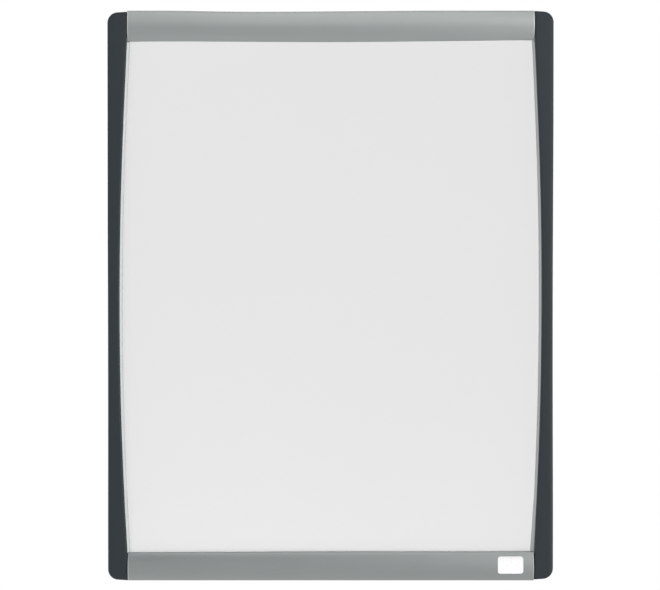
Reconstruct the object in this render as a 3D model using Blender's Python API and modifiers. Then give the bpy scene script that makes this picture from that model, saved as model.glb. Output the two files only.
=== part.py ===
"""Small wall whiteboard in an arched frame, portrait format.

Frame of reference: +X to the viewer's right, +Z up, the writing face looks along -Y.
The origin is the middle of the wall plane: the rear face of the central foam pad.
All lengths below are in metres.
"""

import math

import bmesh
import bpy
from mathutils import Matrix, Vector

MM = 0.001
GAP = 0.3 * MM                    # clearance kept between touching pieces

# Overall frame
HALF_WIDTH = 140.0 * MM           # to the outer face of a side rail
HALF_HEIGHT = 179.0 * MM          # to the outer face of the top and bottom rails
SIDE_HALF_HEIGHT = 178.5 * MM     # side rails end half a millimetre short of that
SIDE_END_WIDTH = 12.0 * MM        # width of a side rail beside the top and bottom rails
SIDE_MID_WIDTH = 7.0 * MM         # and at mid height, where its arc is deepest
RAIL_HEIGHT = 18.4 * MM           # top and bottom rails
CORNER_RADIUS = 6.6 * MM          # outer corners in the front view

# Depths, as world Y. The wall is Y = 0.
Y_FRAME_REAR = -0.6 * MM
Y_SIDE_FRONT = -15.0 * MM
Y_RAIL_CREST = -15.4 * MM
Y_SHEET_FRONT = -10.8 * MM
Y_SHEET_REAR = -10.4 * MM
Y_CORE_FRONT = -10.1 * MM
Y_CORE_REAR = -3.9 * MM
Y_BACK_FRONT = -3.6 * MM
Y_BACK_REAR = -3.2 * MM
Y_FLANGE_FRONT = -2.8 * MM        # rear flanges hold the panel from behind
Y_ON_SHEET = Y_SHEET_FRONT - GAP

# Rail sections
CREST_RADIUS = 20.0 * MM          # convex front of the top and bottom rails
CREST_Z = 171.5 * MM              # its crest. From there it falls further to the sheet's side
SKIN = 1.6 * MM
OUTER_WALL = 1.8 * MM
INNER_WALL = 2.6 * MM
WEB_HALF = 3.2 * MM               # web that takes the screws
RAIL_FLANGE = 4.2 * MM
SIDE_SKIN = 2.2 * MM
SIDE_OUTER_WALL = 2.4 * MM
SIDE_INNER_WALL = 1.6 * MM
SIDE_FLANGE = 3.6 * MM
SIDE_FRONT_ROUND = 1.3 * MM

# Panel
PANEL_HALF_WIDTH = 136.6 * MM
PANEL_HALF_HEIGHT = 175.6 * MM
NOTCH_X = 111.8 * MM              # the panel's corners are notched for the corner brackets
NOTCH_Z = 162.0 * MM

# Lips between the sheet and the side rails
LIP_WIDTH = 2.0 * MM
LIP_TONGUE = 3.5 * MM
LIP_HALF_LENGTH = 160.0 * MM

# Corner brackets
BRACKET_X = (112.4 * MM, 137.2 * MM)
BRACKET_Z = (162.6 * MM, 176.0 * MM)
BRACKET_Y = (Y_SHEET_FRONT, -0.8 * MM)
BRACKET_CORNER = 3.8 * MM
KEYHOLE_X, KEYHOLE_Z = 123.2 * MM, 167.6 * MM
KEYHOLE_RADIUS = 3.5 * MM
SLOT_RADIUS = 1.8 * MM
SLOT_REACH = 4.9 * MM             # from the round hole's centre to the slot end's centre
PLATE_THICKNESS = 2.0 * MM

# Screws
SCREW_SIDE_X = 133.6 * MM         # into a side rail
SCREW_RAIL_X = 116.2 * MM         # into the top or bottom rail
SCREW_Z = 169.6 * MM
SCREW_HEAD_RADIUS = 2.7 * MM
SCREW_RADIUS = 1.45 * MM
Y_HEAD_SEAT = -2.4 * MM
Y_SCREW_TIP = -13.2 * MM
PILOT_RADIUS = 1.75 * MM
Y_PILOT_END = -13.6 * MM

# Foam pads
PAD_SIDE = 25.0 * MM
PAD_THICKNESS = 2.9 * MM
PAD_PLACES = {
    "foam_pad_center": (0.0, 0.0),
    "foam_pad_top_left": (-84.0 * MM, 116.0 * MM),
    "foam_pad_top_right": (84.0 * MM, 116.0 * MM),
    "foam_pad_bottom_left": (-84.0 * MM, -116.0 * MM),
    "foam_pad_bottom_right": (84.0 * MM, -116.0 * MM),
}

# Blank label on the bottom rail
LABEL_X, LABEL_Z = 113.2 * MM, 169.2 * MM
LABEL_SIZE = (16.0 * MM, 10.7 * MM)
LABEL_THICKNESS = 0.3 * MM

RAIL_INNER_Z = HALF_HEIGHT - RAIL_HEIGHT
X_END = HALF_WIDTH - SIDE_END_WIDTH
X_MID = HALF_WIDTH - SIDE_MID_WIDTH
SAGITTA = X_MID - X_END
ARC_RADIUS = (RAIL_INNER_Z**2 + SAGITTA**2) / (2 * SAGITTA)


for old in list(bpy.data.objects):
    bpy.data.objects.remove(old, do_unlink=True)

parts = bpy.data.collections.new("whiteboard")
cutters = bpy.data.collections.new("whiteboard_cutters")
for collection in (parts, cutters):
    bpy.context.scene.collection.children.link(collection)


def material(name, colour, roughness, metallic=0.0):
    made = bpy.data.materials.new(name)
    made.use_nodes = True
    shader = made.node_tree.nodes["Principled BSDF"]
    shader.inputs["Base Color"].default_value = (*colour, 1.0)
    shader.inputs["Roughness"].default_value = roughness
    shader.inputs["Metallic"].default_value = metallic
    made.diffuse_color = (*colour, 1.0)
    return made


MATERIALS = {
    "white_enamel": material("white_enamel", (0.78, 0.78, 0.78), 0.22),
    "silver": material("silver", (0.42, 0.44, 0.43), 0.42, 0.6),
    "charcoal": material("charcoal", (0.042, 0.047, 0.053), 0.5),
    "lip_silver": material("lip_silver", (0.5, 0.51, 0.5), 0.4, 0.4),
    "fibreboard": material("fibreboard", (0.34, 0.25, 0.16), 0.9),
    "zinc_sheet": material("zinc_sheet", (0.52, 0.54, 0.55), 0.45, 0.8),
    "black_moulding": material("black_moulding", (0.03, 0.03, 0.032), 0.55),
    "zinc_screw": material("zinc_screw", (0.6, 0.6, 0.58), 0.3, 1.0),
    "foam": material("foam", (0.8, 0.8, 0.77), 0.9),
    "label_white": material("label_white", (0.82, 0.82, 0.82), 0.35),
}


def settle():
    bpy.context.view_layer.update()


def solid_curve(name, points, half_thickness, matrix, collection=parts):
    """A flat outline extruded to both sides, made a welded mesh. Coplanar cap faces become one."""
    curve = bpy.data.curves.new(name, "CURVE")
    curve.dimensions = "2D"
    curve.fill_mode = "BOTH"
    curve.extrude = half_thickness
    spline = curve.splines.new("POLY")
    spline.points.add(len(points) - 1)
    for point, (u, v) in zip(spline.points, points):
        point.co = (u, v, 0.0, 1.0)
    spline.use_cyclic_u = True
    helper = bpy.data.objects.new(name + "_outline", curve)
    collection.objects.link(helper)
    helper.matrix_world = matrix
    settle()
    graph = bpy.context.evaluated_depsgraph_get()
    mesh = bpy.data.meshes.new_from_object(helper.evaluated_get(graph))
    mesh.name = name
    bm = bmesh.new()
    bm.from_mesh(mesh)
    bmesh.ops.remove_doubles(bm, verts=bm.verts, dist=1e-6)
    bmesh.ops.dissolve_limit(
        bm, angle_limit=math.radians(0.05), verts=bm.verts, edges=bm.edges
    )
    bmesh.ops.recalc_face_normals(bm, faces=bm.faces)
    bm.to_mesh(mesh)
    bm.free()
    made = bpy.data.objects.new(name, mesh)
    made.matrix_world = matrix
    collection.objects.link(made)
    bpy.data.objects.remove(helper, do_unlink=True)
    bpy.data.curves.remove(curve)
    if collection is cutters:
        made.hide_render = True
        made.display_type = "WIRE"
    settle()
    return made


def front_outline(name, points, y_front, y_rear, collection=parts):
    """An outline drawn as (x, z) in the front view, extruded from y_front to y_rear."""
    matrix = Matrix.Translation((0, (y_front + y_rear) / 2, 0)) @ Matrix.Rotation(
        math.pi / 2, 4, "X"
    )
    return solid_curve(name, points, abs(y_rear - y_front) / 2, matrix, collection)


def rail_section(name, points, x_low, x_high, collection=parts):
    """A section drawn as (y, z), extruded from x_low to x_high."""
    turn = Matrix(((0, 0, 1, 0), (1, 0, 0, 0), (0, 1, 0, 0), (0, 0, 0, 1)))
    matrix = Matrix.Translation(((x_low + x_high) / 2, 0, 0)) @ turn
    return solid_curve(name, points, abs(x_high - x_low) / 2, matrix, collection)


def box(name, low, high, collection=cutters):
    low, high = Vector(low), Vector(high)
    mesh = bpy.data.meshes.new(name)
    bm = bmesh.new()
    bmesh.ops.create_cube(bm, size=1.0)
    bmesh.ops.scale(bm, vec=high - low, verts=bm.verts)
    bmesh.ops.translate(bm, vec=(low + high) / 2, verts=bm.verts)
    bm.to_mesh(mesh)
    bm.free()
    return add(name, mesh, collection)


def rod(name, x, z, radius, y_low, y_high, sides=24, collection=cutters):
    """A round bar along Y."""
    mesh = bpy.data.meshes.new(name)
    bm = bmesh.new()
    bmesh.ops.create_cone(
        bm,
        cap_ends=True,
        segments=sides,
        radius1=radius,
        radius2=radius,
        depth=abs(y_high - y_low),
        matrix=Matrix.Translation((x, (y_low + y_high) / 2, z))
        @ Matrix.Rotation(math.pi / 2, 4, "X"),
    )
    bm.to_mesh(mesh)
    bm.free()
    return add(name, mesh, collection)


def add(name, mesh, collection):
    made = bpy.data.objects.new(name, mesh)
    collection.objects.link(made)
    if collection is cutters:
        made.hide_render = True
        made.display_type = "WIRE"
    settle()
    return made


def boolean(target, tool, operation):
    modifier = target.modifiers.new(f"{operation.lower()}_{tool.name}", "BOOLEAN")
    modifier.operation = operation
    modifier.solver = "EXACT"
    modifier.object = tool


def finish(obj, slot, smooth_angle=None):
    obj.data.materials.clear()
    obj.data.materials.append(MATERIALS[slot])
    if smooth_angle:
        obj.data.shade_smooth()
        obj.data.set_sharp_from_angle(angle=math.radians(smooth_angle))
    return obj


def filleted(points, radii, steps=5):
    """The closed polygon with each corner whose radius isn't 0 turned into an arc."""
    result = []
    count = len(points)
    for i, (corner, radius) in enumerate(zip(points, radii)):
        here = Vector(corner)
        if not radius:
            result.append(tuple(here))
            continue
        to_before = (Vector(points[i - 1]) - here).normalized()
        to_after = (Vector(points[(i + 1) % count]) - here).normalized()
        half = to_before.angle(to_after) / 2
        reach = radius / math.tan(half)
        centre = here + (to_before + to_after).normalized() * (radius / math.sin(half))
        first = here + to_before * reach - centre
        last = here + to_after * reach - centre
        turn = math.atan2(first.cross(last), first.dot(last))
        for step in range(steps + 1):
            angle = turn * step / steps
            c, s = math.cos(angle), math.sin(angle)
            result.append(
                (
                    centre.x + first.x * c - first.y * s,
                    centre.y + first.x * s + first.y * c,
                )
            )
    return result


def rectangle(x_low, x_high, z_low, z_high, radius, steps=5):
    corners = [(x_low, z_low), (x_high, z_low), (x_high, z_high), (x_low, z_high)]
    return filleted(corners, [radius] * 4, steps)


def arc_x(z):
    """The inner edge of the right side rail at height z."""
    return X_MID - (ARC_RADIUS - math.sqrt(ARC_RADIUS**2 - z**2))


def arc_points(offset, z_low, z_high, steps):
    heights = [z_low + (z_high - z_low) * i / steps for i in range(steps + 1)]
    return [(arc_x(z) + offset, z) for z in heights]


def mirrored(points, side):
    return [(side * x, z) for x, z in points]


# Side rails: the front outline with a rounded front rim, hollowed from behind, with a rear
# flange that makes the groove for the panel and two bosses for the bracket screws.
def side_rail(name, side):
    arc = arc_points(0.0, RAIL_INNER_Z, -RAIL_INNER_Z, 28)
    outline = [
        (X_END, -SIDE_HALF_HEIGHT),
        (HALF_WIDTH, -SIDE_HALF_HEIGHT),
        (HALF_WIDTH, SIDE_HALF_HEIGHT),
        (X_END, SIDE_HALF_HEIGHT),
        *arc,
    ]
    radii = [1.5 * MM, CORNER_RADIUS, CORNER_RADIUS, 1.5 * MM] + [0] * len(arc)
    body = front_outline(
        name, mirrored(filleted(outline, radii, 6), side), Y_SIDE_FRONT, Y_FRAME_REAR
    )
    half = (Y_FRAME_REAR - Y_SIDE_FRONT) / 2
    weights = body.data.attributes.new("bevel_weight_edge", "FLOAT", "EDGE")
    for edge in body.data.edges:
        if all(body.data.vertices[v].co.z > half - 1e-5 for v in edge.vertices):
            weights.data[edge.index].value = 1.0
    rim = body.modifiers.new("front_rim", "BEVEL")
    rim.limit_method = "WEIGHT"
    rim.width = SIDE_FRONT_ROUND
    rim.segments = 3

    wall_x = HALF_WIDTH - SIDE_OUTER_WALL
    wall_z = SIDE_HALF_HEIGHT - SIDE_SKIN
    inside = CORNER_RADIUS - SIDE_OUTER_WALL
    shell = [(120 * MM, -wall_z), (wall_x, -wall_z), (wall_x, wall_z), (120 * MM, wall_z)]
    shell = filleted(shell, [0, inside, inside, 0], 4)
    groove = front_outline(
        name + "_groove", mirrored(shell, side), Y_ON_SHEET - 1.3 * MM, 1 * MM, cutters
    )
    boolean(body, groove, "DIFFERENCE")

    arc = arc_points(SIDE_INNER_WALL, RAIL_INNER_Z, -RAIL_INNER_Z, 14)
    x_end, x_out, z_out = X_END + SIDE_INNER_WALL, wall_x - GAP, wall_z - GAP
    pocket = [(x_end, -z_out), (x_out, -z_out), (x_out, z_out), (x_end, z_out), *arc]
    pocket = filleted(pocket, [0, inside, inside, 0] + [0] * len(arc), 4)
    hollow = front_outline(
        name + "_hollow",
        mirrored(pocket, side),
        Y_SIDE_FRONT + SIDE_SKIN,
        Y_ON_SHEET - 1.1 * MM,
        cutters,
    )
    boolean(body, hollow, "DIFFERENCE")

    x_a, x_b = side * (wall_x - SIDE_FLANGE), side * (wall_x + 1 * MM)
    flange = box(
        name + "_flange",
        (min(x_a, x_b), Y_FLANGE_FRONT, -150 * MM),
        (max(x_a, x_b), Y_FRAME_REAR - 0.1 * MM, 150 * MM),
    )
    boolean(body, flange, "UNION")
    for end, up in (("top", 1), ("bottom", -1)):
        boss = rod(
            f"{name}_boss_{end}",
            side * SCREW_SIDE_X,
            up * SCREW_Z,
            WEB_HALF,
            Y_SIDE_FRONT + SIDE_SKIN - 0.4 * MM,
            Y_ON_SHEET,
        )
        boolean(body, boss, "UNION")
        pilot = rod(
            f"{name}_pilot_{end}",
            side * SCREW_SIDE_X,
            up * SCREW_Z,
            PILOT_RADIUS,
            Y_PILOT_END,
            Y_ON_SHEET + 1 * MM,
        )
        boolean(body, pilot, "DIFFERENCE")
    return finish(body, "charcoal", 35)


# Top and bottom rails: one extruded section with a convex front skin, a wall on each side,
# a web for the screws and a rear flange. The flange is milled away where the brackets sit.
def crest_y(radius, z):
    return Y_RAIL_CREST + CREST_RADIUS - math.sqrt(radius**2 - (z - CREST_Z) ** 2)


def crest_points(radius, z_from, z_to, steps):
    """Points along an arc about the crest's centre, without its two ends."""
    heights = [z_from + (z_to - z_from) * i / steps for i in range(1, steps)]
    return [(crest_y(radius, z), z) for z in heights]


def straight_rail(name, up):
    inner = CREST_RADIUS - SKIN
    wall_in = RAIL_INNER_Z + INNER_WALL
    wall_out = HALF_HEIGHT - OUTER_WALL
    web_low, web_high = SCREW_Z - WEB_HALF, SCREW_Z + WEB_HALF
    front = crest_points(CREST_RADIUS, HALF_HEIGHT, RAIL_INNER_Z, 12)
    section = [
        (Y_FRAME_REAR, HALF_HEIGHT),
        (crest_y(CREST_RADIUS, HALF_HEIGHT), HALF_HEIGHT),
        *front,
        (crest_y(CREST_RADIUS, RAIL_INNER_Z), RAIL_INNER_Z),
        (Y_ON_SHEET, RAIL_INNER_Z),
        (Y_ON_SHEET, wall_in),
        (crest_y(inner, wall_in), wall_in),
        *crest_points(inner, wall_in, web_low, 3),
        (crest_y(inner, web_low), web_low),
        (Y_ON_SHEET, web_low),
        (Y_ON_SHEET, web_high),
        (crest_y(inner, web_high), web_high),
        *crest_points(inner, web_high, wall_out, 3),
        (crest_y(inner, wall_out), wall_out),
        (Y_FLANGE_FRONT, wall_out),
        (Y_FLANGE_FRONT, wall_out - RAIL_FLANGE),
        (Y_FRAME_REAR, wall_out - RAIL_FLANGE),
    ]
    radii = [0.3 * MM, 1.0 * MM] + [0] * len(front) + [0.5 * MM]
    radii += [0] * (len(section) - len(radii))
    section = [(y, up * z) for y, z in filleted(section, radii, 4)]
    x_half = X_END - GAP
    body = rail_section(name, section, -x_half, x_half)
    for where, side in (("left", -1), ("right", 1)):
        x_a, x_b = side * 108 * MM, side * 130 * MM
        z_a, z_b = up * (wall_out - RAIL_FLANGE - 1 * MM), up * wall_out
        mill = box(
            f"{name}_mill_{where}",
            (min(x_a, x_b), Y_FLANGE_FRONT - 0.2 * MM, min(z_a, z_b)),
            (max(x_a, x_b), 1 * MM, max(z_a, z_b)),
        )
        boolean(body, mill, "DIFFERENCE")
        pilot = rod(
            f"{name}_pilot_{where}",
            side * SCREW_RAIL_X,
            up * SCREW_Z,
            PILOT_RADIUS,
            Y_PILOT_END,
            Y_ON_SHEET + 1 * MM,
        )
        boolean(body, pilot, "DIFFERENCE")
    return finish(body, "silver", 25)


# Lips: a small sloped section with a tongue that lies under the side rail, swept along the
# rail's arc by turning it about the arc's centre.
def lip(name, side):
    section = [
        (-LIP_WIDTH, Y_ON_SHEET),
        (LIP_TONGUE, Y_ON_SHEET),
        (LIP_TONGUE, Y_ON_SHEET - 1.0 * MM),
        (-GAP, Y_ON_SHEET - 1.0 * MM),
        (-GAP, Y_ON_SHEET - 2.3 * MM),
        (-0.7 * MM, Y_ON_SHEET - 2.4 * MM),
        (-LIP_WIDTH, Y_ON_SHEET - 0.8 * MM),
    ]
    centre = Vector((side * (X_MID - ARC_RADIUS), 0, 0))
    half = math.asin(LIP_HALF_LENGTH / ARC_RADIUS)
    mesh = bpy.data.meshes.new(name)
    bm = bmesh.new()
    verts = [bm.verts.new((side * (X_MID + u), y, 0)) for u, y in section]
    face = bm.faces.new(verts)
    bmesh.ops.rotate(
        bm, verts=verts, cent=centre, matrix=Matrix.Rotation(-half, 3, "Y")
    )
    bmesh.ops.spin(
        bm,
        geom=[face, *face.edges, *verts],
        cent=centre,
        axis=(0, 1, 0),
        angle=2 * half,
        steps=32,
        use_duplicate=False,
    )
    bmesh.ops.remove_doubles(bm, verts=bm.verts, dist=1e-7)
    bmesh.ops.recalc_face_normals(bm, faces=bm.faces)
    bm.to_mesh(mesh)
    bm.free()
    return finish(add(name, mesh, parts), "lip_silver", 25)


# Panel: steel writing sheet, fibre core and thin backing sheet, all with notched corners.
def panel_outline(inset):
    x_out, z_out = PANEL_HALF_WIDTH - inset, PANEL_HALF_HEIGHT - inset
    quarter = [(x_out, 0), (x_out, NOTCH_Z), (NOTCH_X, NOTCH_Z), (NOTCH_X, z_out)]
    right = [(x, -z) for x, z in reversed(quarter[1:])] + quarter[1:]
    return right + [(-x, z) for x, z in reversed(right)]


def panel_layer(name, y_front, y_rear, inset, slot):
    return finish(front_outline(name, panel_outline(inset), y_front, y_rear), slot)


# Corner brackets: a hollow moulded block. Its rear plate has a keyhole whose two slots run
# outwards, one for hanging the board upright and one for hanging it on its side.
def corner_bracket(name, side, up):
    corners = [
        (BRACKET_X[0], BRACKET_Z[0]),
        (BRACKET_X[1], BRACKET_Z[0]),
        (BRACKET_X[1], BRACKET_Z[1]),
        (BRACKET_X[0], BRACKET_Z[1]),
    ]
    outline = filleted(corners, [0.6 * MM, 0.6 * MM, BRACKET_CORNER, 0.6 * MM], 4)

    def placed(points):
        return [(side * x, up * z) for x, z in points]

    body = front_outline(name, placed(outline), *BRACKET_Y)
    cavity = rectangle(119.2 * MM, 130.4 * MM, 163.8 * MM, 174.8 * MM, 1.0 * MM, 2)
    boolean(
        body,
        front_outline(
            name + "_cavity",
            placed(cavity),
            Y_SHEET_FRONT + 1.2 * MM,
            BRACKET_Y[1] - PLATE_THICKNESS,
            cutters,
        ),
        "DIFFERENCE",
    )
    x, z = side * KEYHOLE_X, up * KEYHOLE_Z
    y_cut = (BRACKET_Y[1] - PLATE_THICKNESS - 0.4 * MM, 1 * MM)
    boolean(body, rod(name + "_keyhole", x, z, KEYHOLE_RADIUS, *y_cut), "DIFFERENCE")
    slots = {
        "slot_up": (
            KEYHOLE_X - SLOT_RADIUS,
            KEYHOLE_X + SLOT_RADIUS,
            KEYHOLE_Z,
            KEYHOLE_Z + SLOT_REACH + SLOT_RADIUS,
        ),
        "slot_side": (
            KEYHOLE_X,
            KEYHOLE_X + SLOT_REACH + SLOT_RADIUS,
            KEYHOLE_Z - SLOT_RADIUS,
            KEYHOLE_Z + SLOT_RADIUS,
        ),
    }
    for part, span in slots.items():
        outline = rectangle(*span, SLOT_RADIUS * 0.999, 4)
        slot = front_outline(f"{name}_{part}", placed(outline), *y_cut, cutters)
        boolean(body, slot, "DIFFERENCE")
    for which, screw_x in (("side", SCREW_SIDE_X), ("rail", SCREW_RAIL_X)):
        place = (side * screw_x, up * SCREW_Z)
        hole = rod(
            f"{name}_hole_{which}",
            *place,
            PILOT_RADIUS,
            Y_SHEET_FRONT - 1 * MM,
            Y_HEAD_SEAT,
            20,
        )
        recess = rod(
            f"{name}_recess_{which}",
            *place,
            SCREW_HEAD_RADIUS + GAP,
            Y_HEAD_SEAT - GAP,
            1 * MM,
            20,
        )
        boolean(body, hole, "DIFFERENCE")
        boolean(body, recess, "DIFFERENCE")
    return finish(body, "black_moulding", 35)


# Pan-head screw, turned about its own Z with the head up, and a cross recess in the head.
def screw_mesh():
    length = abs(Y_SCREW_TIP - Y_HEAD_SEAT)
    profile = [
        (0.0, 1.5 * MM),
        (1.6 * MM, 1.4 * MM),
        (2.4 * MM, 1.0 * MM),
        (SCREW_HEAD_RADIUS, 0.4 * MM),
        (SCREW_HEAD_RADIUS, 0.0),
        (SCREW_RADIUS, 0.0),
        (SCREW_RADIUS, -length + 1.6 * MM),
        (0.0, -length),
    ]
    mesh = bpy.data.meshes.new("screw_profile")
    bm = bmesh.new()
    verts = [bm.verts.new((r, 0, z)) for r, z in profile]
    for first, second in zip(verts, verts[1:]):
        bm.edges.new((first, second))
    bm.to_mesh(mesh)
    bm.free()
    master = add("screw_master", mesh, cutters)
    turned = master.modifiers.new("turned", "SCREW")
    turned.axis = "Z"
    turned.steps = turned.render_steps = 20
    turned.use_merge_vertices = True
    turned.merge_threshold = 0.00001
    for which, half in (("a", (1.5, 0.32)), ("b", (0.32, 1.5))):
        x, y = half[0] * MM, half[1] * MM
        arm = box(f"screw_recess_{which}", (-x, -y, 0.7 * MM), (x, y, 2 * MM))
        boolean(master, arm, "DIFFERENCE")
    settle()
    graph = bpy.context.evaluated_depsgraph_get()
    result = bpy.data.meshes.new_from_object(master.evaluated_get(graph))
    result.name = "pan_head_screw"
    result.materials.clear()
    result.materials.append(MATERIALS["zinc_screw"])
    result.shade_smooth()
    result.set_sharp_from_angle(angle=math.radians(30))
    for helper in ("screw_master", "screw_recess_a", "screw_recess_b"):
        bpy.data.objects.remove(bpy.data.objects[helper], do_unlink=True)
    return result


# Label: a thin plate bent to the rail's convex front, with rounded corners and no print.
def blank_label():
    inner, outer = CREST_RADIUS + GAP, CREST_RADIUS + GAP + LABEL_THICKNESS
    reach = math.asin((LABEL_SIZE[1] / 2 + 0.5 * MM) / CREST_RADIUS)
    middle = math.asin((CREST_Z - LABEL_Z) / CREST_RADIUS)
    centre_y = Y_RAIL_CREST + CREST_RADIUS

    def band(radius, angles):
        return [
            (centre_y - radius * math.cos(a), -CREST_Z + radius * math.sin(a))
            for a in angles
        ]

    angles = [middle - reach + 2 * reach * i / 10 for i in range(11)]
    section = band(inner, angles) + band(outer, reversed(angles))
    x_low, x_high = LABEL_X - LABEL_SIZE[0] / 2, LABEL_X + LABEL_SIZE[0] / 2
    body = rail_section("blank_label", section, x_low, x_high)
    half = LABEL_SIZE[1] / 2
    outline = rectangle(x_low, x_high, -LABEL_Z - half, -LABEL_Z + half, 1.4 * MM, 5)
    trim = front_outline(
        "blank_label_trim", outline, Y_RAIL_CREST - 2 * MM, Y_RAIL_CREST + 2 * MM, cutters
    )
    boolean(body, trim, "INTERSECT")
    return finish(body, "label_white", 20)


side_rail("left_side_rail", -1)
side_rail("right_side_rail", 1)
straight_rail("top_rail", 1)
straight_rail("bottom_rail", -1)
lip("left_inner_lip", -1)
lip("right_inner_lip", 1)
panel_layer("writing_sheet", Y_SHEET_FRONT, Y_SHEET_REAR, 0.0, "white_enamel")
panel_layer("core_board", Y_CORE_FRONT, Y_CORE_REAR, 0.2 * MM, "fibreboard")
panel_layer("back_sheet", Y_BACK_FRONT, Y_BACK_REAR, 0.1 * MM, "zinc_sheet")

screw = screw_mesh()
for vertical, up in (("top", 1), ("bottom", -1)):
    for horizontal, side in (("left", -1), ("right", 1)):
        corner = f"{vertical}_{horizontal}"
        corner_bracket(f"corner_bracket_{corner}", side, up)
        for kind, screw_x in (
            ("side_rail", SCREW_SIDE_X),
            (f"{vertical}_rail", SCREW_RAIL_X),
        ):
            name = (
                f"side_rail_screw_{corner}"
                if kind == "side_rail"
                else f"{kind}_screw_{horizontal}"
            )
            placed = add(name, screw, parts)
            placed.matrix_world = Matrix.Translation(
                (side * screw_x, Y_HEAD_SEAT, up * SCREW_Z)
            ) @ Matrix.Rotation(-math.pi / 2, 4, "X")

for name, (x, z) in PAD_PLACES.items():
    half = PAD_SIDE / 2
    outline = rectangle(x - half, x + half, z - half, z + half, 3.0 * MM, 4)
    finish(front_outline(name, outline, -PAD_THICKNESS, 0.0), "foam")

blank_label()
settle()
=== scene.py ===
"""Looks of the small arched-frame whiteboard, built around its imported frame.

+X is the viewer's right, +Z is up, and the writing face looks along -Y. All lengths are in metres.
"""

import math

import bmesh
import bpy
from mathutils import Matrix, Vector, noise


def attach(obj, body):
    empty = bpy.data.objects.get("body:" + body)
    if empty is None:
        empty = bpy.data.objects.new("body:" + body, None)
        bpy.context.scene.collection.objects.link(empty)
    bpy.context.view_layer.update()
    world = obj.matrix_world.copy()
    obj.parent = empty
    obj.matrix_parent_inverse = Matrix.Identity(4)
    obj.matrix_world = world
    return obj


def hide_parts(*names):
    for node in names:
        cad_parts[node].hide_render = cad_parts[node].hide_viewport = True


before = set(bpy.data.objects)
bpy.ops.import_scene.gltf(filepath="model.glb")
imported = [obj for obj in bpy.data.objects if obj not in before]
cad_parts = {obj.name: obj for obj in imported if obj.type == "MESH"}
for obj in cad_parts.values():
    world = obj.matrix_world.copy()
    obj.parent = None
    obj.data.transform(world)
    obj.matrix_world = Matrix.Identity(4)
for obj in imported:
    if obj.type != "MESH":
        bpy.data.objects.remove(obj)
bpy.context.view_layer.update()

MM = 0.001
GAP = 0.3 * MM

# The same driving dimensions as the frame's.
HALF_WIDTH = 140.0 * MM
HALF_HEIGHT = 179.0 * MM
SIDE_HALF_HEIGHT = 178.5 * MM
X_END = 128.0 * MM
X_MID = 133.0 * MM
RAIL_INNER_Z = 160.6 * MM
CREST_Z = 171.5 * MM
CORNER_RADIUS = 6.6 * MM
Y_FRAME_REAR = -0.6 * MM
Y_SIDE_FRONT = -15.0 * MM
Y_RAIL_CREST = -15.4 * MM
Y_SHEET_FRONT = -10.8 * MM
Y_ON_SHEET = Y_SHEET_FRONT - GAP
Y_FLANGE_FRONT = -2.8 * MM
CREST_RADIUS = 20.0 * MM
PANEL_HALF_WIDTH = 136.6 * MM
PANEL_HALF_HEIGHT = 175.6 * MM
NOTCH_X = 111.8 * MM
NOTCH_Z = 162.0 * MM
LOWERED_TOP, LOWERED_BOTTOM = 0.55 * MM, 0.70 * MM  # how much lower the inner edges sit
# How much nearer the middle the side rails' inner edges sit than the frame's, by height.
NEARER = {
    -1: [
        (-176, 0.33),
        (-163, -0.08),
        (-150, -0.08),
        (-95, 0.0),
        (-60, 0.03),
        (0, 0.22),
        (60, 0.32),
        (95, 0.40),
        (125, 0.38),
        (150, 0.22),
        (163, 0.08),
        (176, 0.20),
    ],
    1: [
        (-176, 0.06),
        (-163, -0.30),
        (-150, -0.18),
        (-130, 0.03),
        (-60, 0.14),
        (0, 0.25),
        (60, 0.17),
        (125, 0.11),
        (150, -0.12),
        (163, -0.25),
        (176, -0.25),
    ],
}
# How much higher the straight rails' edges sit than straight ones, along X. Only the top
# rail's outer edge sags.
RAISED = {
    ("outer", 1): [
        (-104, 0.0),
        (-80, -0.36),
        (-63, -0.62),
        (-36, -0.69),
        (0, -0.45),
        (31, -0.26),
        (63, 0.0),
    ],
    ("inner", 1): [
        (-126, -0.42),
        (-119, -0.25),
        (-94, -0.15),
        (-63, -0.30),
        (-31, -0.48),
        (0, -0.56),
        (31, -0.38),
        (63, -0.06),
        (94, 0.30),
        (122, 0.60),
    ],
    ("outer", -1): [(0, 0.0)],
    ("inner", -1): [
        (-126, -0.46),
        (-94, -0.32),
        (-63, -0.22),
        (-31, -0.04),
        (0, 0.08),
        (94, 0.07),
        (124, 0.25),
    ],
}
SAGITTA = X_MID - X_END
ARC_RADIUS = (RAIL_INNER_Z**2 + SAGITTA**2) / (2 * SAGITTA)

scene = bpy.context.scene
scene.view_settings.view_transform = "Standard"
scene.view_settings.look = "None"
scene.view_settings.exposure = 0.0
scene.view_settings.gamma = 1.0


# Camera: nearly square-on, about two metres away, a degree above the board's middle.
VIEW_DISTANCE = 2.0
VIEW_ELEVATION = math.radians(1.1)
FRAME_WIDTH = 0.4148  # what 660 pixels span at the board's front
camera_data = bpy.data.cameras.new("camera")
camera_data.sensor_fit = "HORIZONTAL"
camera_data.sensor_width = 36.0
camera_data.lens = 36.0 * VIEW_DISTANCE / FRAME_WIDTH
camera = bpy.data.objects.new("camera", camera_data)
scene.collection.objects.link(camera)
aim = Vector((-0.35 * MM, -13.0 * MM, 0.62 * MM))
camera.location = aim + VIEW_DISTANCE * Vector(
    (0.0, -math.cos(VIEW_ELEVATION), math.sin(VIEW_ELEVATION))
)
camera.rotation_euler = (math.pi / 2 - VIEW_ELEVATION, 0.0, 0.0)
scene.camera = camera


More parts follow.
